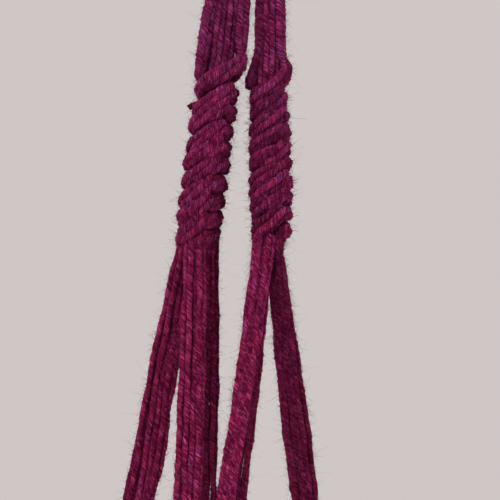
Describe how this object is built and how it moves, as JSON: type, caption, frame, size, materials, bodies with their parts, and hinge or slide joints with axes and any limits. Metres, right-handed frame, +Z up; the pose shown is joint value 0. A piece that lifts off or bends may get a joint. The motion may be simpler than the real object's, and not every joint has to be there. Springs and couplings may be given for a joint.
{
  "type": "hanging macrame planter",
  "caption": "Knotted wool plant hanger: arms of spiral half-knot sinnets drop from a ring, split to joint knots and cradle a clay pot above a tassel.",
  "frame": {"origin": "where a hook bears, at the inside top of the hanging ring", "axes": "+Z up along the hanging line, +X along the ring's plane, -Y towards the viewer of the picture"},
  "size_m": [0.1348, 0.1348, 0.823],
  "materials": {
    "yarn": "fuzzy plied wool yarn in wine red",
    "ring_wood": "plain turned beech, unvarnished",
    "terracotta": "unglazed matt terracotta"
  },
  "bodies": {
    "ring": {"hanging_ring": "ring_wood"},
    "hanger": {"inner_bights": "yarn", "outer_bights": "yarn", "top_core": "yarn", "top_wrap": "yarn", "front_right_filler_cords": "yarn", "front_right_knot_cord_a": "yarn", "front_right_knot_cord_b": "yarn", "back_right_filler_cords": "yarn", "back_right_knot_cord_a": "yarn", "back_right_knot_cord_b": "yarn", "back_left_filler_cords": "yarn", "back_left_knot_cord_a": "yarn", "back_left_knot_cord_b": "yarn", "front_left_filler_cords": "yarn", "front_left_knot_cord_a": "yarn", "front_left_knot_cord_b": "yarn", "front_right_to_front_cords": "yarn", "front_right_to_right_cords": "yarn", "back_right_to_right_cords": "yarn", "back_right_to_back_cords": "yarn", "back_left_to_back_cords": "yarn", "back_left_to_left_cords": "yarn", "front_left_to_left_cords": "yarn", "front_left_to_front_cords": "yarn", "right_joint_filler_cords": "yarn", "right_joint_knot_cord_a": "yarn", "right_joint_knot_cord_b": "yarn", "right_cradle_cords": "yarn", "back_joint_filler_cords": "yarn", "back_joint_knot_cord_a": "yarn", "back_joint_knot_cord_b": "yarn", "back_cradle_cords": "yarn", "left_joint_filler_cords": "yarn", "left_joint_knot_cord_a": "yarn", "left_joint_knot_cord_b": "yarn", "left_cradle_cords": "yarn", "front_joint_filler_cords": "yarn", "front_joint_knot_cord_a": "yarn", "front_joint_knot_cord_b": "yarn", "front_cradle_cords": "yarn", "base_core": "yarn", "base_wrap": "yarn"},
    "pot": {"plant_pot": "terracotta"},
    "tassel": {"tassel": "yarn"}
  },
  "joints": [
    {"name": "hanger_swing", "type": "hinge", "parent": "ring", "child": "hanger", "pos_m": [0, 0, -0.0655], "axis": [1, 0, 0], "range_deg": [-35, 35]},
    {"name": "pot_lift", "type": "slide", "parent": "hanger", "child": "pot", "axis": [0, 0, 1], "range_m": [0, 0.015]},
    {"name": "tassel_sway", "type": "hinge", "parent": "hanger", "child": "tassel", "pos_m": [0, 0, -0.664], "axis": [1, 0, 0], "range_deg": [-30, 30]}
  ]
}
